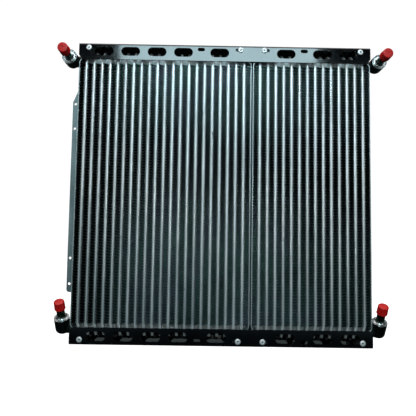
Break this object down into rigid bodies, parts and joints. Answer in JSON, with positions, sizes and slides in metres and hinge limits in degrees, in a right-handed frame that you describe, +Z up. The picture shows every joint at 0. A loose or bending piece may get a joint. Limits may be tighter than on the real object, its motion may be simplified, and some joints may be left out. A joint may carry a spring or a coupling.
{
  "type": "hydraulic oil cooler",
  "caption": "Flat oil cooler: two side-by-side finned cores of upright bar tubes between windowed black channel brackets, with a capped pipe port at each corner.",
  "frame": {"origin": "middle of the lower bracket's outer face, at mid depth of the cores", "axes": "+X to the right seen from the port side, +Y to the rear, +Z up along the tubes"},
  "size_m": [0.4992, 0.0817, 0.45],
  "materials": {
    "tube_aluminium": "brazed mill finish",
    "fin_aluminium": "dark coated",
    "side_aluminium": "mill finish",
    "bracket_black": "gloss black paint",
    "rivet_aluminium": "bright",
    "port_aluminium": "turned, bright",
    "cap_red": "soft low-density plastic"
  },
  "bodies": {
    "cooler": {"tube_left_01": "tube_aluminium", "tube_left_02": "tube_aluminium", "tube_left_03": "tube_aluminium", "tube_left_04": "tube_aluminium", "tube_left_05": "tube_aluminium", "tube_left_06": "tube_aluminium", "tube_left_07": "tube_aluminium", "tube_left_08": "tube_aluminium", "tube_left_09": "tube_aluminium", "tube_left_10": "tube_aluminium", "tube_left_11": "tube_aluminium", "tube_left_12": "tube_aluminium", "tube_left_13": "tube_aluminium", "tube_left_14": "tube_aluminium", "tube_left_15": "tube_aluminium", "tube_left_16": "tube_aluminium", "tube_left_17": "tube_aluminium", "tube_left_18": "tube_aluminium", "tube_left_19": "tube_aluminium", "tube_left_20": "tube_aluminium", "tube_left_21": "tube_aluminium", "tube_right_01": "tube_aluminium", "tube_right_02": "tube_aluminium", "tube_right_03": "tube_aluminium", "tube_right_04": "tube_aluminium", "tube_right_05": "tube_aluminium", "tube_right_06": "tube_aluminium", "tube_right_07": "tube_aluminium", "tube_right_08": "tube_aluminium", "tube_right_09": "tube_aluminium", "tube_right_10": "tube_aluminium", "tube_right_11": "tube_aluminium", "tube_right_12": "tube_aluminium", "tube_right_13": "tube_aluminium", "tube_right_14": "tube_aluminium", "fins_left": "fin_aluminium", "fins_right": "fin_aluminium", "turbulators": "fin_aluminium", "side_plate_left_a": "side_aluminium", "side_plate_left_b": "side_aluminium", "side_plate_right_a": "side_aluminium", "side_plate_right_b": "side_aluminium", "cup_blanks": "tube_aluminium", "bracket_bottom": "bracket_black", "bracket_top": "bracket_black", "bracket_rivets": "rivet_aluminium", "saddle_blocks": "tube_aluminium", "side_rail": "side_aluminium", "port_elbow_top_left": "port_aluminium", "port_stub_top_left": "port_aluminium", "port_elbow_bottom_left": "port_aluminium", "port_stub_bottom_left": "port_aluminium", "port_elbow_top_right": "port_aluminium", "port_stub_top_right": "port_aluminium", "port_elbow_bottom_right": "port_aluminium", "port_stub_bottom_right": "port_aluminium"},
    "cap_top_left": {"port_cap_top_left": "cap_red"},
    "cap_bottom_left": {"port_cap_bottom_left": "cap_red"},
    "cap_top_right": {"port_cap_top_right": "cap_red"},
    "cap_bottom_right": {"port_cap_bottom_right": "cap_red"}
  },
  "joints": [
    {"name": "cap_top_left_pull", "type": "slide", "parent": "cooler", "child": "cap_top_left", "axis": [0, -1, 0], "range_m": [0, 0.035]},
    {"name": "cap_bottom_left_pull", "type": "slide", "parent": "cooler", "child": "cap_bottom_left", "axis": [0, -0.5, 0.866], "range_m": [0, 0.035]},
    {"name": "cap_top_right_pull", "type": "slide", "parent": "cooler", "child": "cap_top_right", "axis": [0, -1, 0], "range_m": [0, 0.035]},
    {"name": "cap_bottom_right_pull", "type": "slide", "parent": "cooler", "child": "cap_bottom_right", "axis": [0, -0.5, 0.866], "range_m": [0, 0.035]}
  ]
}
